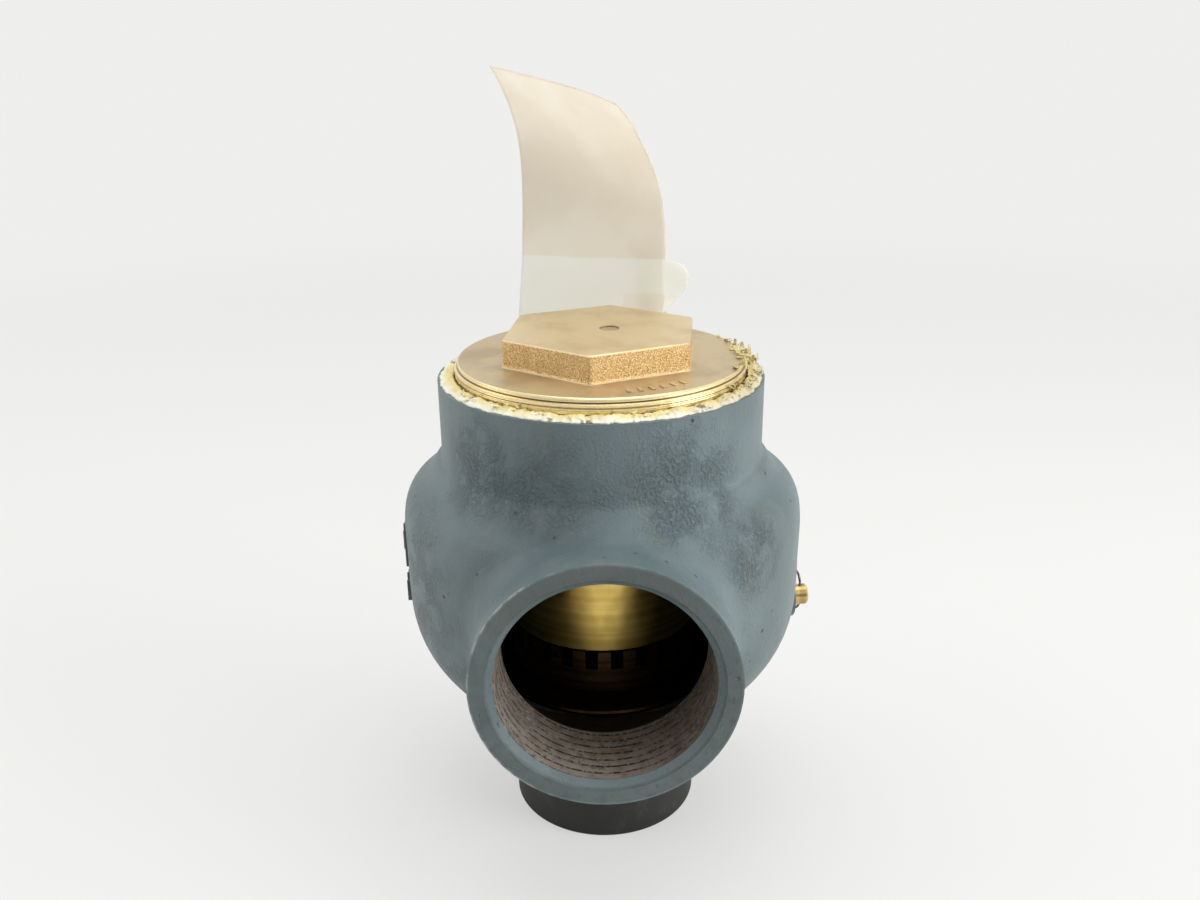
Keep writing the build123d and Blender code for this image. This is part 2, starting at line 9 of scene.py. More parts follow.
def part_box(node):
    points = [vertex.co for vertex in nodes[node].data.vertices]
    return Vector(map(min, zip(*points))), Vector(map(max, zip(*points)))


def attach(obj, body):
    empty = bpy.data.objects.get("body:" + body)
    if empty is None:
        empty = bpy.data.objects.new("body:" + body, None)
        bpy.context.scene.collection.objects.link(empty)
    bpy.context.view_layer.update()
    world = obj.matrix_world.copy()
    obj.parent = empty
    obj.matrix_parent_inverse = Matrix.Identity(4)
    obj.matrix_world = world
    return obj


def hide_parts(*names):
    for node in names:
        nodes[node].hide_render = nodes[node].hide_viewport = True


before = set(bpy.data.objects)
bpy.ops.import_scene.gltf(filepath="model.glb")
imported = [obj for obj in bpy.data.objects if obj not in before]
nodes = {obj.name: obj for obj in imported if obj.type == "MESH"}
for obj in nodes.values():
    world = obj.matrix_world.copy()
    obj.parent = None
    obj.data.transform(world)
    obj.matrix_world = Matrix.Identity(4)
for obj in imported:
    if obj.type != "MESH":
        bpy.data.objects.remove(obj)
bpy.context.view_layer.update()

# Camera: it looks down at the valve from in front of the outlet, and is rolled by about 0.6 degrees.
# It is a 36 mm wide sensor behind a 32.5 mm lens, 0.36 m in front of the valve's axis.
camera_data = bpy.data.cameras.new("camera")
camera_data.sensor_width = 36.0
camera_data.lens = 32.475
camera_data.clip_start = 0.01
camera = bpy.data.objects.new("camera", camera_data)
bpy.context.scene.collection.objects.link(camera)
camera_pitch = 0.358
camera_yaw = 0.003
camera_roll = -0.011
camera_place = (-0.0017, -0.3591, 0.2739)
level = Vector((sin(camera_yaw), cos(camera_yaw), 0))
looking = level * cos(camera_pitch) - Vector((0, 0, sin(camera_pitch)))
rightwards = Vector((cos(camera_yaw), -sin(camera_yaw), 0))
upwards = rightwards.cross(looking)
side = rightwards * cos(camera_roll) + upwards * sin(camera_roll)
top = upwards * cos(camera_roll) - rightwards * sin(camera_roll)
turned_to_view = Matrix((side, top, -looking)).transposed().to_4x4()
camera.matrix_world = Matrix.Translation(camera_place) @ turned_to_view
bpy.context.scene.camera = camera
bpy.context.scene.view_settings.view_transform = "Standard"


# Studio: a pale floor that runs into a white surround, with soft lamps above, at both sides and in front.
# The surround is darker behind the camera, as a room is, so that gloss shows its shape.
def shader(name):
    """A new material, its node tree and its Principled shader."""
    made = bpy.data.materials.new(name)
    made.use_nodes = True
    tree = made.node_tree
    return made, tree, tree.nodes["Principled BSDF"]


def add(tree, kind, **values):
    """Adds a node. A keyword names an attribute, or a socket if it starts with in_ (by name or number)."""
    node = tree.nodes.new(kind)
    for key, value in values.items():
        if key.startswith("in_"):
            socket = key[3:].replace("_", " ")
            node.inputs[int(socket) if socket.isdigit() else socket].default_value = value
        else:
            setattr(node, key, value)
    return node


def join(tree, source, target):
    """Links an output socket to an input socket."""
    tree.links.new(source, target)


surround = bpy.data.worlds.new("surround")
surround.use_nodes = True
tree = surround.node_tree
tree.nodes.clear()
direction = add(tree, "ShaderNodeTexCoord")
parts = add(tree, "ShaderNodeSeparateXYZ")
join(tree, direction.outputs["Generated"], parts.inputs[0])
front_to_back = add(tree, "ShaderNodeMapRange", interpolation_type="SMOOTHSTEP")
front_to_back.inputs["From Min"].default_value = -0.95
front_to_back.inputs["From Max"].default_value = 0.1
front_to_back.inputs["To Min"].default_value = 0.17
front_to_back.inputs["To Max"].default_value = 0.85
join(tree, parts.outputs["Y"], front_to_back.inputs["Value"])
rays = add(tree, "ShaderNodeLightPath")
seen = add(tree, "ShaderNodeMix", data_type="FLOAT")
seen.inputs["B"].default_value = 0.86
join(tree, rays.outputs["Is Camera Ray"], seen.inputs["Factor"])
join(tree, front_to_back.outputs["Result"], seen.inputs["A"])
background = add(tree, "ShaderNodeBackground")
background.inputs["Color"].default_value = (1.0, 1.0, 0.985, 1)
join(tree, seen.outputs["Result"], background.inputs["Strength"])
world_output = add(tree, "ShaderNodeOutputWorld")
join(tree, background.outputs[0], world_output.inputs[0])
bpy.context.scene.world = surround


def soft_lamp(name, place, size, power):
    """A square area lamp that points at the valve's middle."""
    lamp = bpy.data.lights.new(name, "AREA")
    lamp.size = size
    lamp.energy = power
    lamp_object = bpy.data.objects.new(name, lamp)
    aim = (Vector((0, 0, 0.10)) - Vector(place)).to_track_quat("-Z", "Y")
    lamp_object.matrix_world = Matrix.Translation(place) @ aim.to_matrix().to_4x4()
    bpy.context.scene.collection.objects.link(lamp_object)


soft_lamp("lamp_above", (0.1, 0.05, 1.25), 1.0, 5.8)
soft_lamp("lamp_right", (1.05, -0.40, 0.50), 0.7, 9.5)
soft_lamp("lamp_left", (-1.1, 0.0, 0.6), 0.8, 4.0)
soft_lamp("lamp_front", (0.35, -1.0, 0.9), 0.3, 0.8)

floor_mesh = bmesh.new()
bmesh.ops.create_grid(floor_mesh, x_segments=1, y_segments=1, size=6.0)
floor_data = bpy.data.meshes.new("floor")
floor_mesh.to_mesh(floor_data)
floor = bpy.data.objects.new("floor", floor_data)
bpy.context.scene.collection.objects.link(floor)
pale, tree, bsdf = shader("pale_floor")
bsdf.inputs["Base Color"].default_value = (0.74, 0.745, 0.725, 1)
bsdf.inputs["Roughness"].default_value = 0.75
place = add(tree, "ShaderNodeTexCoord")
distance = add(tree, "ShaderNodeVectorMath", operation="LENGTH")
join(tree, place.outputs["Object"], distance.inputs[0])
fading = add(tree, "ShaderNodeMapRange", interpolation_type="SMOOTHSTEP")
fading.inputs["From Min"].default_value = 0.15
fading.inputs["From Max"].default_value = 1.6
fading.inputs["To Min"].default_value = 0.55
fading.inputs["To Max"].default_value = 1.0
join(tree, distance.outputs["Value"], fading.inputs["Value"])
rays = add(tree, "ShaderNodeLightPath")
to_camera = add(tree, "ShaderNodeMath", operation="MULTIPLY")
join(tree, rays.outputs["Is Camera Ray"], to_camera.inputs[0])
join(tree, fading.outputs["Result"], to_camera.inputs[1])
glow = add(tree, "ShaderNodeEmission", in_Color=(1.0, 1.0, 0.985, 1), in_Strength=0.86)
blend = add(tree, "ShaderNodeMixShader")
join(tree, to_camera.outputs[0], blend.inputs[0])
join(tree, bsdf.outputs[0], blend.inputs[1])
join(tree, glow.outputs[0], blend.inputs[2])
join(tree, blend.outputs[0], tree.nodes["Material Output"].inputs["Surface"])
floor_data.materials.append(pale)


# Valve body: one iron casting, machined at its rim, bores and outlet face, then dipped in blue-grey paint.
# The paint shows the sand mould's skin: fine grain all over, pits here and there, rough patches on the neck.
def group(name, takes, gives):
    """A node group with named float or vector inputs and outputs, and its input and output nodes."""
    made = bpy.data.node_groups.new(name, "ShaderNodeTree")
    for title, value in takes.items():
        kind = "NodeSocketVector" if value is None else "NodeSocketFloat"
        socket = made.interface.new_socket(name=title, in_out="INPUT", socket_type=kind)
        if value is not None:
            socket.default_value = value
    for title in gives:
        made.interface.new_socket(name=title, in_out="OUTPUT", socket_type="NodeSocketFloat")
    return made, made.nodes.new("NodeGroupInput"), made.nodes.new("NodeGroupOutput")


def sums(tree, operation, first, second, clamp=False):
    """A Math node of two values, either of which is a socket or a number. Returns its output."""
    node = add(tree, "ShaderNodeMath", operation=operation, use_clamp=clamp)
    for number, value in enumerate((first, second)):
        if isinstance(value, (int, float)):
            node.inputs[number].default_value = value
        else:
            join(tree, value, node.inputs[number])
    return node.outputs[0]


def ramp(tree, value, low, high, start=0.0, end=1.0):
    """A smooth step of a value from low to high. Returns its output."""
    node = add(tree, "ShaderNodeMapRange", interpolation_type="SMOOTHSTEP")
    node.inputs["From Min"].default_value = low
    node.inputs["From Max"].default_value = high
    node.inputs["To Min"].default_value = start
    node.inputs["To Max"].default_value = end
    join(tree, value, node.inputs["Value"])
    return node.outputs["Result"]


def mix_colour(tree, factor, first, second):
    """A colour mix. Either colour is a socket or a tuple. Returns its output."""
    node = add(tree, "ShaderNodeMix", data_type="RGBA")
    join(tree, factor, node.inputs[0])
    for number, value in ((6, first), (7, second)):
        if isinstance(value, tuple):
            node.inputs[number].default_value = (*value, 1)
        else:
            join(tree, value, node.inputs[number])
    return node.outputs[2]


# Cast skin: a group that gives grain height, pits and slow changes of tone from a place in metres.
cast_skin, given, result = group("cast_skin", {"Place": None, "Grain": 900.0, "Pit Share": 0.2},
                                 ("Height", "Pits", "Tone"))
fine = add(cast_skin, "ShaderNodeTexNoise", in_Detail=6.0, in_Roughness=0.62)
join(cast_skin, given.outputs["Place"], fine.inputs["Vector"])
join(cast_skin, given.outputs["Grain"], fine.inputs["Scale"])
lumps = add(cast_skin, "ShaderNodeTexNoise", in_Scale=160.0, in_Detail=3.0)
join(cast_skin, given.outputs["Place"], lumps.inputs["Vector"])
slow = add(cast_skin, "ShaderNodeTexNoise", in_Scale=22.0, in_Detail=3.0)
join(cast_skin, given.outputs["Place"], slow.inputs["Vector"])
cells = add(cast_skin, "ShaderNodeTexVoronoi", in_Scale=330.0, in_Randomness=1.0)
join(cast_skin, given.outputs["Place"], cells.inputs["Vector"])
pit_shape = ramp(cast_skin, cells.outputs["Distance"], 0.10, 0.28, 1.0, 0.0)
chance = add(cast_skin, "ShaderNodeSeparateColor")
join(cast_skin, cells.outputs["Color"], chance.inputs[0])
chosen = sums(cast_skin, "LESS_THAN", chance.outputs[0], given.outputs["Pit Share"])
pits = sums(cast_skin, "MULTIPLY", pit_shape, chosen)
fine_part = sums(cast_skin, "MULTIPLY", fine.outputs[0], 0.45)
height = sums(cast_skin, "ADD", fine_part, sums(cast_skin, "MULTIPLY", lumps.outputs[0], 0.55))
join(cast_skin, height, result.inputs["Height"])
join(cast_skin, pits, result.inputs["Pits"])
join(cast_skin, slow.outputs[0], result.inputs["Tone"])

# Turned finish: a group that gives fine tool rings from a distance off an axis and a place along it.
turned, given, result = group("turned", {"Off Axis": 0.0, "Along": 0.0, "Rings": 2600.0}, ("Height", "Tone"))
track = sums(turned, "ADD", given.outputs["Off Axis"], given.outputs["Along"])
rings = add(turned, "ShaderNodeTexNoise", noise_dimensions="1D", in_Detail=2.0)
join(turned, sums(turned, "MULTIPLY", track, given.outputs["Rings"]), rings.inputs["W"])
rings.inputs["Scale"].default_value = 1.0
join(turned, rings.outputs[0], result.inputs["Height"])
bands = add(turned, "ShaderNodeTexNoise", noise_dimensions="1D", in_Detail=1.0)
join(turned, sums(turned, "MULTIPLY", track, 420.0), bands.inputs["W"])
bands.inputs["Scale"].default_value = 1.0
join(turned, bands.outputs[0], result.inputs["Tone"])


def use(tree, made, **values):
    """Places a node group in a material. Returns the node; a value is a socket or a number."""
    node = add(tree, "ShaderNodeGroup", node_tree=made)
    for key, value in values.items():
        socket = node.inputs[key.replace("_", " ")]
        if isinstance(value, (int, float)):
            socket.default_value = value
        else:
            join(tree, value, socket)
    return node


def object_place(tree):
    """The Object coordinates and their three parts, as sockets."""
    place = add(tree, "ShaderNodeTexCoord").outputs["Object"]
    parts = add(tree, "ShaderNodeSeparateXYZ")
    join(tree, place, parts.inputs[0])
    return place, parts.outputs["X"], parts.outputs["Y"], parts.outputs["Z"]


def off_axis(tree, first, second):
    """Distance from an axis, from the two coordinates across it."""
    squares = sums(tree, "ADD", sums(tree, "MULTIPLY", first, first), sums(tree, "MULTIPLY", second, second))
    return sums(tree, "SQRT", squares, 0.0)


def relief(tree, bsdf, height, depth, strength=1.0):
    """Feeds a height into the shader's normal, as a bump of this depth in metres."""
    bump = add(tree, "ShaderNodeBump")
    bump.inputs["Strength"].default_value = strength
    bump.inputs["Distance"].default_value = depth
    join(tree, height, bump.inputs["Height"])
    join(tree, bump.outputs["Normal"], bsdf.inputs["Normal"])


def near(tree, place, centre, reach):
    """A mask that is 1 at a point and falls to 0 at this distance from it."""
    gap = add(tree, "ShaderNodeVectorMath", operation="DISTANCE", in_1=centre)
    join(tree, place, gap.inputs[0])
    return ramp(tree, gap.outputs["Value"], 0.25 * reach, reach, 1.0, 0.0)


paint, tree, bsdf = shader("painted_casting")
place, x, y, z = object_place(tree)
skin = use(tree, cast_skin, Place=place, Grain=1150.0, Pit_Share=0.025)
patches = near(tree, place, (-0.014, -0.054, 0.147), 0.026)
for centre, reach in (((0.026, -0.050, 0.146), 0.030), ((-0.040, -0.040, 0.150), 0.024),
                      ((-0.066, -0.026, 0.105), 0.040), ((-0.050, -0.045, 0.070), 0.030),
                      ((0.045, -0.045, 0.120), 0.020)):
    patches = sums(tree, "MAXIMUM", patches, near(tree, place, centre, reach))
uneven = add(tree, "ShaderNodeTexNoise", in_Scale=95.0, in_Detail=4.0)
join(tree, place, uneven.inputs["Vector"])
patches = sums(tree, "MULTIPLY", patches, ramp(tree, uneven.outputs[0], 0.34, 0.58, 0.15, 1.0))
coarse = add(tree, "ShaderNodeTexNoise", in_Scale=820.0, in_Detail=6.0, in_Roughness=0.6)
join(tree, place, coarse.inputs["Vector"])
broken = ramp(tree, coarse.outputs[0], 0.40, 0.62)
patch_height = sums(tree, "MULTIPLY", broken, patches)
scratched = add(tree, "ShaderNodeMapping")
scratched.inputs["Scale"].default_value = (1.0, 1.0, 0.42)
join(tree, place, scratched.inputs["Vector"])
nicks = add(tree, "ShaderNodeTexNoise", in_Scale=620.0, in_Detail=4.0, in_Roughness=0.6)
join(tree, scratched.outputs[0], nicks.inputs["Vector"])
low_down = sums(tree, "ADD", 0.35, ramp(tree, z, 0.118, 0.095, 0.0, 0.65))
nick = sums(tree, "MULTIPLY", ramp(tree, nicks.outputs[0], 0.36, 0.28), low_down)
stretched = add(tree, "ShaderNodeMapping")
stretched.inputs["Scale"].default_value = (1.0, 1.0, 0.12)
join(tree, place, stretched.inputs["Vector"])
runs = add(tree, "ShaderNodeTexNoise", in_Scale=140.0, in_Detail=3.0)
join(tree, stretched.outputs[0], runs.inputs["Vector"])
runs_mask = ramp(tree, runs.outputs[0], 0.52, 0.72)
tone = ramp(tree, skin.outputs["Tone"], 0.35, 0.65)
colour = mix_colour(tree, tone, (0.096, 0.133, 0.143), (0.138, 0.184, 0.196))
colour = mix_colour(tree, sums(tree, "MULTIPLY", runs_mask, 0.35), colour, (0.170, 0.188, 0.170))
colour = mix_colour(tree, sums(tree, "MULTIPLY", skin.outputs["Pits"], 0.75), colour, (0.035, 0.045, 0.045))
colour = mix_colour(tree, sums(tree, "MULTIPLY", nick, 0.55), colour, (0.045, 0.058, 0.058))
hollows = sums(tree, "MULTIPLY", patches, ramp(tree, coarse.outputs[0], 0.50, 0.36))
colour = mix_colour(tree, sums(tree, "MULTIPLY", hollows, 0.3), colour, (0.040, 0.055, 0.058))
# The outlet's machined face is darker, and bare bright metal shows where its outer edge is knocked
outlet_z = 0.0935
outlet_face = -0.0815
from_outlet = off_axis(tree, x, sums(tree, "SUBTRACT", z, outlet_z))
face_edge = ramp(tree, y, outlet_face + 0.0015, outlet_face + 0.0003)
knocks = add(tree, "ShaderNodeTexNoise", in_Scale=210.0, in_Detail=5.0)
join(tree, place, knocks.inputs["Vector"])
at_face = ramp(tree, y, outlet_face + 0.0009, outlet_face + 0.0004)
flat_face = sums(tree, "MULTIPLY", at_face, ramp(tree, from_outlet, 0.0412, 0.0408))
smudged = sums(tree, "MULTIPLY", flat_face, ramp(tree, knocks.outputs[0], 0.3, 0.6, 1.0, 0.55))
colour = mix_colour(tree, sums(tree, "MULTIPLY", smudged, 0.75), colour, (0.066, 0.080, 0.074))
browned = sums(tree, "MULTIPLY", flat_face, ramp(tree, z, 0.105, 0.132))
browned = sums(tree, "MULTIPLY", browned, ramp(tree, knocks.outputs[0], 0.40, 0.62, 0.0, 0.5))
colour = mix_colour(tree, browned, colour, (0.085, 0.080, 0.070))
# Painted shade: the passage behind the thread and the chamber's walls are bare, and painted near black for
# the shade deep inside the body
behind_thread = sums(tree, "MULTIPLY", ramp(tree, y, -0.0556, -0.0549), ramp(tree, y, 0.030, 0.020))
passage = sums(tree, "MULTIPLY", ramp(tree, from_outlet, 0.0392, 0.0383), behind_thread)
in_chamber = ramp(tree, off_axis(tree, x, y), 0.0655, 0.0645)
chamber = sums(tree, "MULTIPLY", in_chamber, ramp(tree, z, 0.080, 0.082))
chamber = sums(tree, "MULTIPLY", chamber, ramp(tree, z, 0.126, 0.124))
colour = mix_colour(tree, sums(tree, "MAXIMUM", passage, chamber), colour, (0.020, 0.015, 0.010))
rim = sums(tree, "MULTIPLY", ramp(tree, from_outlet, 0.0410, 0.0414), face_edge)
left_side = ramp(tree, x, -0.010, -0.026, 0.12, 1.0)
knocked = sums(tree, "MULTIPLY", left_side, ramp(tree, knocks.outputs[0], 0.44, 0.56))
worn = sums(tree, "MULTIPLY", rim, knocked)
colour = mix_colour(tree, sums(tree, "MULTIPLY", worn, 0.75), colour, (0.38, 0.38, 0.34))
join(tree, colour, bsdf.inputs["Base Color"])
join(tree, ramp(tree, skin.outputs["Tone"], 0.2, 0.8, 0.36, 0.52), bsdf.inputs["Roughness"])
total = sums(tree, "ADD", skin.outputs["Height"], sums(tree, "MULTIPLY", patch_height, 0.85))
total = sums(tree, "SUBTRACT", total, sums(tree, "MULTIPLY", skin.outputs["Pits"], 0.8))
total = sums(tree, "SUBTRACT", total, sums(tree, "MULTIPLY", nick, 0.35))
relief(tree, bsdf, total, 0.0009, 0.85)
nodes["valve_body"].material_slots[0].material = paint


# Inside pieces: bronze, brass, stainless, plated and spring steel, mostly turned on a lathe. They share
# one finish, with tool rings, darker bands and a little tarnish, and each metal has its own colours.
def turned_metal(name, colour, dark, roughness=0.3, rings=2600.0, axis="Z", centre=(0.0, 0.0), depth=0.00006):
    """A turned metal, whose tool rings run round an axis of the valve through this centre."""
    made, tree, bsdf = shader(name)
    place, x, y, z = object_place(tree)
    across = {"Z": (x, y), "Y": (x, z), "X": (y, z)}[axis]
    along = {"Z": z, "Y": y, "X": x}[axis]
    first = sums(tree, "SUBTRACT", across[0], centre[0])
    second = sums(tree, "SUBTRACT", across[1], centre[1])
    radius = off_axis(tree, first, second)
    tool = use(tree, turned, Off_Axis=radius, Along=along, Rings=rings)
    tarnish = add(tree, "ShaderNodeTexNoise", in_Scale=90.0, in_Detail=5.0, in_Roughness=0.6)
    join(tree, place, tarnish.inputs["Vector"])
    half_bands = sums(tree, "MULTIPLY", tool.outputs["Tone"], 0.5)
    tone = sums(tree, "ADD", half_bands, sums(tree, "MULTIPLY", tarnish.outputs[0], 0.5))
    join(tree, mix_colour(tree, ramp(tree, tone, 0.35, 0.65), dark, colour), bsdf.inputs["Base Color"])
    dullness = ramp(tree, tarnish.outputs[0], 0.3, 0.7, roughness + 0.12, roughness - 0.06)
    join(tree, dullness, bsdf.inputs["Roughness"])
    bsdf.inputs["Metallic"].default_value = 1.0
    relief(tree, bsdf, tool.outputs["Height"], depth, 0.6)
    return made


def finish(made, *names):
    """Gives a material to CAD nodes."""
    for name in names:
        nodes[name].material_slots[0].material = made


# Nozzle, blowdown ring, disc holder, bridge and adjusting screw: bronze bar and castings, turned all
# over and dulled by oil. The bridge screws into the neck.
finish(turned_metal("nozzle_bronze", (0.15, 0.095, 0.045), (0.06, 0.036, 0.016), 0.42),
       "inlet_nozzle", "blowdown_ring", "disc_holder", "spring_bridge", "adjusting_screw")

# Guide sleeve: a turned brass tube with soft brown tarnish that hangs in the chamber. It is the
# bright piece behind the outlet's thread.
finish(turned_metal("guide_brass", (0.80, 0.58, 0.17), (0.66, 0.46, 0.12), 0.34, rings=700.0, depth=0.00002),
       "guide_sleeve")

# Seat disc, clip, spindle and its pin: stainless steel. The disc is lapped flat on its seat side, and
# the others are turned or bent from wire.
finish(turned_metal("stainless", (0.60, 0.60, 0.60), (0.42, 0.42, 0.42), 0.22),
       "seat_disc", "disc_clip", "spindle", "spindle_pin")

# Spring washers, lock nut and its washer: turned and milled from steel bar, with a yellowish zinc
# plating against rust.
finish(turned_metal("zinc_plated", (0.62, 0.60, 0.50), (0.45, 0.44, 0.36), 0.32),
       "lower_spring_washer", "upper_spring_washer", "lock_nut", "lock_nut_washer")

# Spring and lock wire: drawn steel wire, oiled and dark. The spring is coiled cold, and the lock wire
# is threaded by hand from the pin through the lug to the seal.
finish(turned_metal("spring_steel", (0.20, 0.20, 0.20), (0.09, 0.085, 0.08), 0.38, rings=400.0),
       "spring", "lock_wire")

# Ring pin and its washer: brass, turned about the pin's own line, which points out of the body's
# side. The pin screws in over the washer and locks the blowdown ring.
pin_line = (0.0099, 0.076)
finish(turned_metal("pin_brass", (0.72, 0.53, 0.24), (0.46, 0.32, 0.13), 0.28, 3000.0, "X", pin_line),
       "ring_pin", "ring_pin_washer")

# Seal: a soft lead slug, cast round and crimped flat over the two ends of the lock wire. It is dull
# and a little rough.
finish(turned_metal("seal_lead", (0.40, 0.40, 0.41), (0.26, 0.26, 0.27), 0.5, rings=300.0, depth=0.0002),
       "wire_seal")

# Cap gasket: a flat ring punched from pressed fibre sheet, dark green-grey. It lies under the cap's
# flange and is squeezed by it.
gasket, tree, bsdf = shader("gasket_fibre")
place = object_place(tree)[0]
fibres = add(tree, "ShaderNodeTexNoise", in_Scale=1500.0, in_Detail=3.0)
join(tree, place, fibres.inputs["Vector"])
colour = mix_colour(tree, fibres.outputs[0], (0.05, 0.07, 0.055), (0.13, 0.15, 0.12))
join(tree, colour, bsdf.inputs["Base Color"])
bsdf.inputs["Roughness"].default_value = 0.85
relief(tree, bsdf, fibres.outputs[0], 0.0001)
finish(gasket, "cap_gasket")

# Thread protector: a cup moulded in matt black plastic and pushed over the inlet's thread. It is what
# the valve stands on, and its scuffs show grey.
plastic, tree, bsdf = shader("protector_plastic")
place = object_place(tree)[0]
mould = add(tree, "ShaderNodeTexNoise", in_Scale=1400.0, in_Detail=2.0)
join(tree, place, mould.inputs["Vector"])
scuffs = add(tree, "ShaderNodeTexNoise", in_Scale=60.0, in_Detail=8.0, in_Roughness=0.75)
join(tree, place, scuffs.inputs["Vector"])
scuffed = ramp(tree, scuffs.outputs[0], 0.52, 0.70)
colour = mix_colour(tree, scuffed, (0.016, 0.017, 0.015), (0.045, 0.046, 0.042))
join(tree, colour, bsdf.inputs["Base Color"])
join(tree, ramp(tree, scuffs.outputs[0], 0.3, 0.7, 0.48, 0.62), bsdf.inputs["Roughness"])
relief(tree, bsdf, mould.outputs[0], 0.00008)
finish(plastic, "thread_protector")

# Hexagon cap: cast bronze. The hexagon's sides keep the sand's grain, its top is smoother,
# and the flange's edge is turned bright.
bronze, tree, bsdf = shader("cap_bronze")
place, x, y, z = object_place(tree)
radius = off_axis(tree, x, y)
grain = use(tree, cast_skin, Place=place, Grain=1500.0, Pit_Share=0.35)
tool = use(tree, turned, Off_Axis=radius, Along=z, Rings=1800.0)
on_side = sums(tree, "MULTIPLY", ramp(tree, z, 0.1744, 0.1750), ramp(tree, z, 0.1836, 0.1832))
on_edge = sums(tree, "MULTIPLY", ramp(tree, radius, 0.0484, 0.0488), ramp(tree, z, 0.1747, 0.1744))
groove = sums(tree, "MULTIPLY", ramp(tree, z, 0.1726, 0.1728), ramp(tree, z, 0.1732, 0.1730))
lower_groove = sums(tree, "MULTIPLY", ramp(tree, z, 0.1712, 0.1713), ramp(tree, z, 0.1716, 0.1715))
groove = sums(tree, "MAXIMUM", groove, lower_groove)
from_mark = off_axis(tree, sums(tree, "SUBTRACT", x, 0.003), y)
mark = sums(tree, "MULTIPLY", ramp(tree, from_mark, 0.0024, 0.0030), ramp(tree, from_mark, 0.0037, 0.0032))
mark = sums(tree, "MAXIMUM", mark, ramp(tree, from_mark, 0.0032, 0.0030, 0.0, 0.35))
mark = sums(tree, "MULTIPLY", mark, ramp(tree, z, 0.1830, 0.1832))
sparkle = add(tree, "ShaderNodeTexNoise", in_Scale=2300.0, in_Detail=3.0, in_Roughness=0.7)
join(tree, place, sparkle.inputs["Vector"])
on_flange = sums(tree, "MULTIPLY", ramp(tree, z, 0.1749, 0.1746), ramp(tree, radius, 0.0490, 0.0484))
stain = add(tree, "ShaderNodeTexNoise", in_Scale=55.0, in_Detail=6.0, in_Roughness=0.6)
join(tree, place, stain.inputs["Vector"])
stained = ramp(tree, stain.outputs[0], 0.42, 0.68)
top_colour = mix_colour(tree, stained, (0.76, 0.62, 0.39), (0.65, 0.51, 0.30))
# The sides' speckle in colour is partly the sand grain's own tone and partly painted glints, bright points of
# light on its grains.
grain_and_glint_speckle = ramp(tree, sparkle.outputs[0], 0.36, 0.66)
side_colour = mix_colour(tree, grain_and_glint_speckle, (0.46, 0.28, 0.10), (0.98, 0.74, 0.40))
flange_colour = mix_colour(tree, stained, (0.62, 0.50, 0.31), (0.50, 0.39, 0.24))
colour = mix_colour(tree, on_side, top_colour, side_colour)
colour = mix_colour(tree, on_flange, colour, flange_colour)
colour = mix_colour(tree, on_edge, colour, (0.94, 0.78, 0.46))
groove = sums(tree, "MULTIPLY", groove, sums(tree, "MULTIPLY", on_edge, 0.85))
colour = mix_colour(tree, groove, colour, (0.10, 0.06, 0.02))
colour = mix_colour(tree, sums(tree, "MULTIPLY", mark, 0.75), colour, (0.16, 0.12, 0.06))
join(tree, colour, bsdf.inputs["Base Color"])
bsdf.inputs["Metallic"].default_value = 0.85
rough = sums(tree, "ADD", 0.42, sums(tree, "MULTIPLY", on_side, 0.08))
rough = sums(tree, "SUBTRACT", rough, sums(tree, "MULTIPLY", on_edge, 0.22))
join(tree, rough, bsdf.inputs["Roughness"])
height = sums(tree, "MULTIPLY", sparkle.outputs[0], 0.6)
height = sums(tree, "ADD", height, sums(tree, "MULTIPLY", grain.outputs["Height"], 0.4))
height = sums(tree, "MULTIPLY", height, sums(tree, "ADD", 0.12, on_side))
edge_rings = sums(tree, "MULTIPLY", tool.outputs["Height"], sums(tree, "MULTIPLY", on_edge, 0.3))
height = sums(tree, "ADD", height, edge_rings)
relief(tree, bsdf, height, 0.0006, 0.8)
finish(bronze, "hex_cap")


# Outlet thread: a tapered pipe thread cut in the outlet's bore, bare grey-brown metal whose roots carry
# painted shade, near black.
# The ridge runs round as one helix, 8 turns to the inch, and the mouth has a painted chamfer.
def piece(name, shape, made, body, smooth=True):
    """Turns a bmesh into an object that rides on a body."""
    data = bpy.data.meshes.new(name)
    shape.to_mesh(data)
    shape.free()
    data.materials.append(made)
    data.polygons.foreach_set("use_smooth", [smooth] * len(data.polygons))
    made_object = bpy.data.objects.new(name, data)
    bpy.context.scene.collection.objects.link(made_object)
    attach(made_object, body)
    return made_object


def rolled_up(across, along, place_of, merge=0.00001):
    """A grid rolled into a closed skin: place_of(u, v) puts a point, with u and v running once round."""
    shape = bmesh.new()
    bmesh.ops.create_grid(shape, x_segments=across, y_segments=along, size=0.5)
    for vertex in shape.verts:
        vertex.co = place_of(vertex.co.x + 0.5, vertex.co.y + 0.5)
    bmesh.ops.remove_doubles(shape, verts=shape.verts, dist=merge)
    bmesh.ops.recalc_face_normals(shape, faces=shape.faces)
    return shape


bore_radius = 0.0364
pitch = 0.0254 / 8
thread_start = 0.0024
thread_end = 0.0262
crest_radius = 0.0341
thread_depth = 0.0009
taper = 1 / 32


def on_outlet(radius, angle, depth):
    """A point in the outlet: this far off its axis, at this angle round it, this deep from its face."""
    return Vector((radius * cos(angle), outlet_face + depth, outlet_z + radius * sin(angle)))


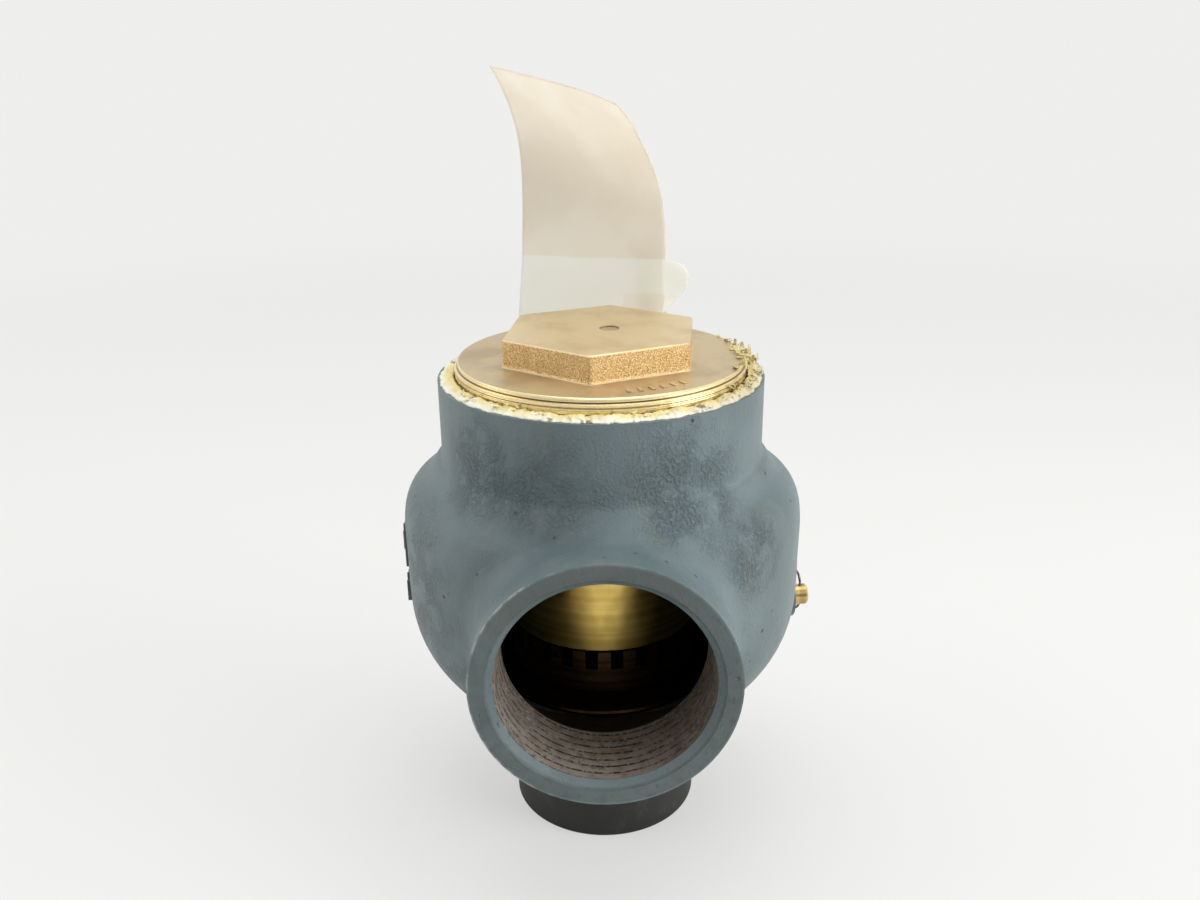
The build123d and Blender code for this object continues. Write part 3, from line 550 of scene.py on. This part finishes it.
def thread_point(u, v):
    """The thread insert's skin: the helix on the inside, a plain cylinder on the outside."""
    angle = 2 * pi * u
    back = max(10 * v - 9, 0.0)
    if 0 < back < 0.999:
        returned = min(max(back * 3 - 1, 0.0), 1.0)
        return on_outlet(bore_radius, angle, thread_end + (thread_start - thread_end) * returned)
    inside = 0.0 if back else v / 0.9
    depth = thread_start + (thread_end - thread_start) * inside
    rise = 1 - abs(2 * ((depth / pitch + u) % 1.0) - 1)
    groove = min(max((rise - 0.78) / 0.16, 0.0), 1.0) * min(inside / 0.06, 1.0)
    wobble = 0.00004 * noise.noise(Vector((cos(angle) * 9, sin(angle) * 9, depth * 900)))
    radius = crest_radius + thread_depth * groove - (depth - thread_start) * taper + wobble
    return on_outlet(radius, angle, depth)


bare_thread, tree, bsdf = shader("bare_thread")
place, x, y, z = object_place(tree)
round_bore = sums(tree, "DIVIDE", sums(tree, "ARCTAN2", sums(tree, "SUBTRACT", z, outlet_z), x), 2 * pi)
turns = sums(tree, "ADD", sums(tree, "DIVIDE", sums(tree, "SUBTRACT", y, outlet_face), pitch), round_bore)
off_root = sums(tree, "ABSOLUTE", sums(tree, "SUBTRACT", sums(tree, "FRACT", turns, 0.0), 0.5), 0.0)
blotch = add(tree, "ShaderNodeTexNoise", in_Scale=240.0, in_Detail=6.0, in_Roughness=0.7)
join(tree, place, blotch.inputs["Vector"])
spots = ramp(tree, blotch.outputs[0], 0.55, 0.66)
dots = add(tree, "ShaderNodeTexNoise", in_Scale=900.0, in_Detail=2.0)
join(tree, place, dots.inputs["Vector"])
dotted = ramp(tree, dots.outputs[0], 0.38, 0.56, 0.35, 1.0)
# Painted shade: the thread's roots are painted near black, broken up a little by noise.
painted_root_shade = sums(tree, "MULTIPLY", ramp(tree, off_root, 0.15, 0.11), dotted)
crests = mix_colour(tree, ramp(tree, blotch.outputs[0], 0.3, 0.6), (0.27, 0.205, 0.160), (0.46, 0.40, 0.35))
colour = mix_colour(tree, painted_root_shade, crests, (0.012, 0.009, 0.007))
colour = mix_colour(tree, sums(tree, "MULTIPLY", spots, 0.7), colour, (0.035, 0.028, 0.022))
# Painted shade: the wall towards +x, which faces away from the lamp on the right, is painted darker brown.
colour = mix_colour(tree, ramp(tree, x, 0.002, 0.034, 0.0, 0.55), colour, (0.070, 0.050, 0.036))
join(tree, colour, bsdf.inputs["Base Color"])
bsdf.inputs["Metallic"].default_value = 0.45
join(tree, ramp(tree, blotch.outputs[0], 0.3, 0.7, 0.42, 0.62), bsdf.inputs["Roughness"])
relief(tree, bsdf, blotch.outputs[0], 0.0002, 0.5)

outlet_thread = piece("outlet_thread", rolled_up(180, 220, thread_point), bare_thread, "valve_body")

chamfer = bmesh.new()
chamfer_radius = 0.03645
chamfer_end = 0.0027
outline = ((chamfer_radius, 0.00005), (crest_radius, thread_start),
           (crest_radius, chamfer_end), (chamfer_radius, chamfer_end))
profile = [on_outlet(radius, 0.0, depth) for radius, depth in outline]
corners = [chamfer.verts.new(point) for point in profile]
for start, end in zip(corners, corners[1:] + corners[:1]):
    chamfer.edges.new((start, end))
bmesh.ops.spin(chamfer, geom=chamfer.verts[:] + chamfer.edges[:], cent=(0, 0, outlet_z), axis=(0, 1, 0),
               angle=2 * pi, steps=160, use_merge=True, use_duplicate=False)
bmesh.ops.recalc_face_normals(chamfer, faces=chamfer.faces)
outlet_chamfer = piece("outlet_chamfer", chamfer, paint, "valve_body", smooth=False)

# Sealing compound: a bead of soft paste squeezed out round the cap and wiped, cream and yellow.
# It is whiter on the rim's outer edge and golden beside the cap.
compound, tree, bsdf = shader("sealing_compound")
place, x, y, z = object_place(tree)
radius = off_axis(tree, x, y)
mottle = add(tree, "ShaderNodeTexNoise", in_Scale=210.0, in_Detail=5.0, in_Roughness=0.65)
join(tree, place, mottle.inputs["Vector"])
swing = sums(tree, "SUBTRACT", mottle.outputs[0], 0.5)
inward = ramp(tree, sums(tree, "ADD", radius, sums(tree, "MULTIPLY", swing, 0.006)), 0.0555, 0.0515)
colour = mix_colour(tree, inward, (0.82, 0.81, 0.70), (0.78, 0.67, 0.31))
colour = mix_colour(tree, ramp(tree, x, 0.015, 0.050, 0.0, 0.55), colour, (0.42, 0.33, 0.14))
dirt_and_crevice_shade = ramp(tree, mottle.outputs[0], 0.57, 0.66)
# Painted shade: a dark ring on the bead's inner edge, low down beside the cap's flange, where the crevice is
# in shade. It is joined with the dark dirt of the mottle.
crevice_shade = ramp(tree, sums(tree, "ADD", radius, sums(tree, "MULTIPLY", swing, 0.004)), 0.0507, 0.0501)
dirt_and_crevice_shade = sums(tree, "MAXIMUM", dirt_and_crevice_shade, sums(tree, "MULTIPLY", crevice_shade, ramp(tree, z, 0.1722, 0.1712)))
colour = mix_colour(tree, sums(tree, "MULTIPLY", dirt_and_crevice_shade, 0.85), colour, (0.10, 0.075, 0.03))
join(tree, colour, bsdf.inputs["Base Color"])
bsdf.inputs["Roughness"].default_value = 0.42
bsdf.inputs["Subsurface Weight"].default_value = 0.12
bsdf.inputs["Subsurface Radius"].default_value = (0.002, 0.0015, 0.0008)
relief(tree, bsdf, mottle.outputs[0], 0.0006, 0.6)

rim_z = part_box("sealing_compound")[0].z
bead_foot = rim_z + 0.00003
bead_inner = 0.0500


def bead_point(u, v):
    """The bead's skin. v runs round its section, from the cap over the top to the outside and back under."""
    angle = 2 * pi * u
    direction = Vector((cos(angle), sin(angle), 0))
    ragged = noise.fractal(direction * 9, 0.6, 2.1, 6)
    swell = noise.noise(direction * 2.3 + Vector((0, 0, 4)))
    heavy = max(0.0, cos(angle - radians(8))) ** 4
    tall = 0.0017 + 0.0004 * swell + 0.0007 * ragged + 0.0012 * heavy
    outer = 0.0551 + 0.0009 * ragged + 0.0003 * swell
    if v < 0.75:
        across = v / 0.75
        lumps = noise.fractal(direction * 24 + Vector((0, 0, across * 2.5)), 0.8, 2.0, 4)
        profile = sin(pi * across ** 0.75) ** 0.6
        lift = max(tall * profile * (1.0 - 0.45 * across) + 0.0006 * lumps * profile, 0.0)
        return direction * (bead_inner + (outer - bead_inner) * across) + Vector((0, 0, bead_foot + lift))
    return direction * (outer + (bead_inner - outer) * (v - 0.75) / 0.25) + Vector((0, 0, bead_foot))


bead = piece("compound_bead", rolled_up(900, 24, bead_point), compound, "valve_body")

# Flakes of the same compound, torn up as the cap was tightened. Most of them stand on the pin's side.
flakes = bmesh.new()
chance = Random(7)
for number in range(165):
    heavy_side = number < 110
    azimuth = radians(chance.gauss(6, 22) if heavy_side else chance.uniform(-150, 60))
    outwards = Vector((cos(azimuth), sin(azimuth), 0))
    along = Vector((-sin(azimuth), cos(azimuth), 0))
    over_flange = number < 26
    start = outwards * (chance.uniform(0.0470, 0.0500) if over_flange else chance.uniform(0.0503, 0.0548))
    start.z = rim_z + (chance.uniform(0.0062, 0.0066) if over_flange else chance.uniform(0.0006, 0.0024))
    length = chance.uniform(0.0015, 0.0048 if heavy_side else 0.0028)
    width = chance.uniform(0.0009, 0.0030 if heavy_side else 0.0014)
    heading = (along * chance.choice((-1, 1)) + outwards * chance.uniform(-0.7, 0.6)).normalized()
    rising = chance.uniform(-0.1, 0.5) if heavy_side else chance.uniform(-0.1, 0.3)
    curl = chance.uniform(-2.6, 1.6)
    sideways = heading.cross(Vector((0, 0, 1)))
    edge = []
    place = start.copy()
    for step in range(6):
        tilt = rising + curl * step / 5
        place = place + (heading * cos(tilt) + Vector((0, 0, sin(tilt)))) * length / 5
        place.z = max(place.z, start.z - 0.0004)
        half = width * (1 - 0.55 * step / 5) * chance.uniform(0.7, 1.2) / 2
        lean = Vector((0, 0, chance.uniform(-0.3, 0.3) * half))
        offset = sideways * half - lean
        edge.append((flakes.verts.new(place - offset), flakes.verts.new(place + offset)))
    for (left, right), (next_left, next_right) in zip(edge, edge[1:]):
        flakes.faces.new((left, right, next_right, next_left))
flake_piece = piece("compound_flakes", flakes, compound, "valve_body", smooth=False)
thick = flake_piece.modifiers.new("thick", "SOLIDIFY")
thick.thickness = 0.00022
thick.offset = 0.0
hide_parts("sealing_compound")

# Instruction tag: a sheet of coated paper whose foot is bedded in the compound behind the cap. It leans
# back, bends slantwise forwards higher up, and has a crease near its foot. A loose end curls out behind it.
tag_paper, tree, bsdf = shader("tag_paper")
uv = add(tree, "ShaderNodeUVMap")
flat = add(tree, "ShaderNodeSeparateXYZ")
join(tree, uv.outputs[0], flat.inputs[0])
place = object_place(tree)[0]
fibres = add(tree, "ShaderNodeTexNoise", in_Scale=900.0, in_Detail=4.0)
join(tree, place, fibres.inputs["Vector"])
clouds = add(tree, "ShaderNodeTexNoise", in_Scale=26.0, in_Detail=5.0, in_Roughness=0.6)
join(tree, place, clouds.inputs["Vector"])
cloud = ramp(tree, clouds.outputs[0], 0.35, 0.65)
warm = mix_colour(tree, cloud, (0.88, 0.835, 0.755), (0.93, 0.895, 0.825))
# Painted light: below the crease the paper is painted whiter, as lit, while above it the paper keeps the
# warmer, darker tone that stands for shade. Where the loose end lies behind the sheet, the band is painted
# back towards that tone as shade.
below_crease = ramp(tree, flat.outputs["Y"], 0.268, 0.262)
second_ply = ramp(tree, flat.outputs["Y"], 0.140, 0.136)
second_ply = sums(tree, "MULTIPLY", second_ply, ramp(tree, flat.outputs["X"], 0.715, 0.725))
single = sums(tree, "SUBTRACT", 1.0, sums(tree, "MULTIPLY", second_ply, 0.7))
painted_light_band = sums(tree, "MULTIPLY", below_crease, single)
colour = mix_colour(tree, painted_light_band, warm, (0.95, 0.95, 0.91))
# Painted highlight: a bright line along the crease, on the sheet's left side.
crease = ramp(tree, flat.outputs["Y"], 0.259, 0.263)
crease = sums(tree, "MULTIPLY", crease, ramp(tree, flat.outputs["Y"], 0.270, 0.266))
crease = sums(tree, "MULTIPLY", crease, ramp(tree, flat.outputs["X"], 0.42, 0.18))
colour = mix_colour(tree, sums(tree, "MULTIPLY", crease, 0.8), colour, (0.97, 0.97, 0.94))
specks = add(tree, "ShaderNodeTexVoronoi", in_Scale=190.0)
join(tree, place, specks.inputs["Vector"])
speck_chance = add(tree, "ShaderNodeSeparateColor")
join(tree, specks.outputs["Color"], speck_chance.inputs[0])
speck = ramp(tree, specks.outputs["Distance"], 0.05, 0.13, 1.0, 0.0)
speck = sums(tree, "MULTIPLY", speck, sums(tree, "LESS_THAN", speck_chance.outputs[0], 0.03))
colour = mix_colour(tree, sums(tree, "MULTIPLY", speck, 0.35), colour, (0.35, 0.32, 0.27))
join(tree, colour, bsdf.inputs["Base Color"])
bsdf.inputs["Roughness"].default_value = 0.45
wrinkles = add(tree, "ShaderNodeTexNoise", in_Scale=60.0, in_Detail=3.0)
join(tree, place, wrinkles.inputs["Vector"])
height = sums(tree, "ADD", wrinkles.outputs[0], sums(tree, "MULTIPLY", fibres.outputs[0], 0.1))
relief(tree, bsdf, height, 0.0006, 0.5)
let_through = add(tree, "ShaderNodeBsdfTranslucent")
join(tree, colour, let_through.inputs["Color"])
both = add(tree, "ShaderNodeMixShader", in_0=0.66)
join(tree, bsdf.outputs[0], both.inputs[1])
join(tree, let_through.outputs[0], both.inputs[2])
join(tree, both.outputs[0], tree.nodes["Material Output"].inputs["Surface"])

tag_width = 0.0558
tag_height = 0.105
tag_foot = Vector((-0.003, 0.0529, 0.1698))
tag_turn = radians(-10.3)
tag_lean = radians(7.2)
tag_slant = radians(-26.6)
tag_bends = (4.0, 3.5, -32.3, -2.9, -50.0)
foot_line = Vector((cos(tag_turn), sin(tag_turn), 0))
behind = Vector((-sin(tag_turn), cos(tag_turn), 0))
upright = Vector((0, 0, 1)) * cos(tag_lean) + behind * sin(tag_lean)
backwards = behind * cos(tag_lean) - Vector((0, 0, 1)) * sin(tag_lean)


def on_tag(across, up, off=0.0):
    """A place on the tag, from metres across its foot and up from it, and this far behind it."""
    along_bends = foot_line * cos(tag_slant) + upright * sin(tag_slant)
    over_bends = upright * cos(tag_slant) - foot_line * sin(tag_slant)
    length = (up * cos(tag_slant) - across * sin(tag_slant)) / 60
    heading = run = rise = 0.0
    for step in range(60):
        knot = min(max(((step + 0.5) * length + 0.020) / 0.035, 0.0), 3.999)
        bend = tag_bends[int(knot)] + (tag_bends[int(knot) + 1] - tag_bends[int(knot)]) * (knot - int(knot))
        heading += bend * length
        run += cos(heading) * length
        rise += sin(heading) * length
    away = backwards * cos(heading) - over_bends * sin(heading)
    flat_place = along_bends * (across * cos(tag_slant) + up * sin(tag_slant))
    return tag_foot + flat_place + over_bends * run + backwards * rise + away * off


def paper(name, columns, rows, place_of, share=(1.0, 1.0)):
    """A sheet of paper 0.3 mm thick from place_of(u, v). Its UV map covers this share of the main sheet's."""
    shape = bmesh.new()
    bmesh.ops.create_grid(shape, x_segments=columns, y_segments=rows, size=0.5)
    layer = shape.loops.layers.uv.new("UVMap")
    for face in shape.faces:
        for loop in face.loops:
            loop[layer].uv = ((loop.vert.co.x + 0.5) * share[0], (loop.vert.co.y + 0.5) * share[1])
    for vertex in shape.verts:
        vertex.co = place_of(vertex.co.x + 0.5, vertex.co.y + 0.5)
    made = piece(name, shape, tag_paper, "valve_body")
    made_thick = made.modifiers.new("thick", "SOLIDIFY")
    made_thick.thickness = 0.0003
    made_thick.offset = 0.0
    return made


def tag_place(u, v):
    """The main sheet: gently rippled, and a little wider to the left below its crease."""
    ripple = 0.0004 * noise.noise(Vector((u * 3.2, v * 2.6, 1.0)))
    flare = -0.0018 * max(0.0, 1 - v / 0.26) * (1 - u)
    return on_tag((u - 0.5) * tag_width + flare, v * tag_height, ripple)


def loose_end_place(u, v):
    """The loose end behind: it bulges out past the tag's right edge and curls away at its top."""
    bulge = 0.0085 * sin(pi * min(v * 0.72, 1.0)) ** 1.2
    across = tag_width / 2 - 0.010 + (0.010 + bulge) * u
    return on_tag(across, 0.007 + 0.0225 * v - 0.005 * u * u * v * v, 0.0015 + 0.0030 * u * u + 0.0015 * v)


tag = paper("tag_sheet", 40, 76, tag_place)
loose_end = paper("tag_loose_end", 16, 20, loose_end_place, share=(0.6, 0.25))
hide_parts("instruction_tag")
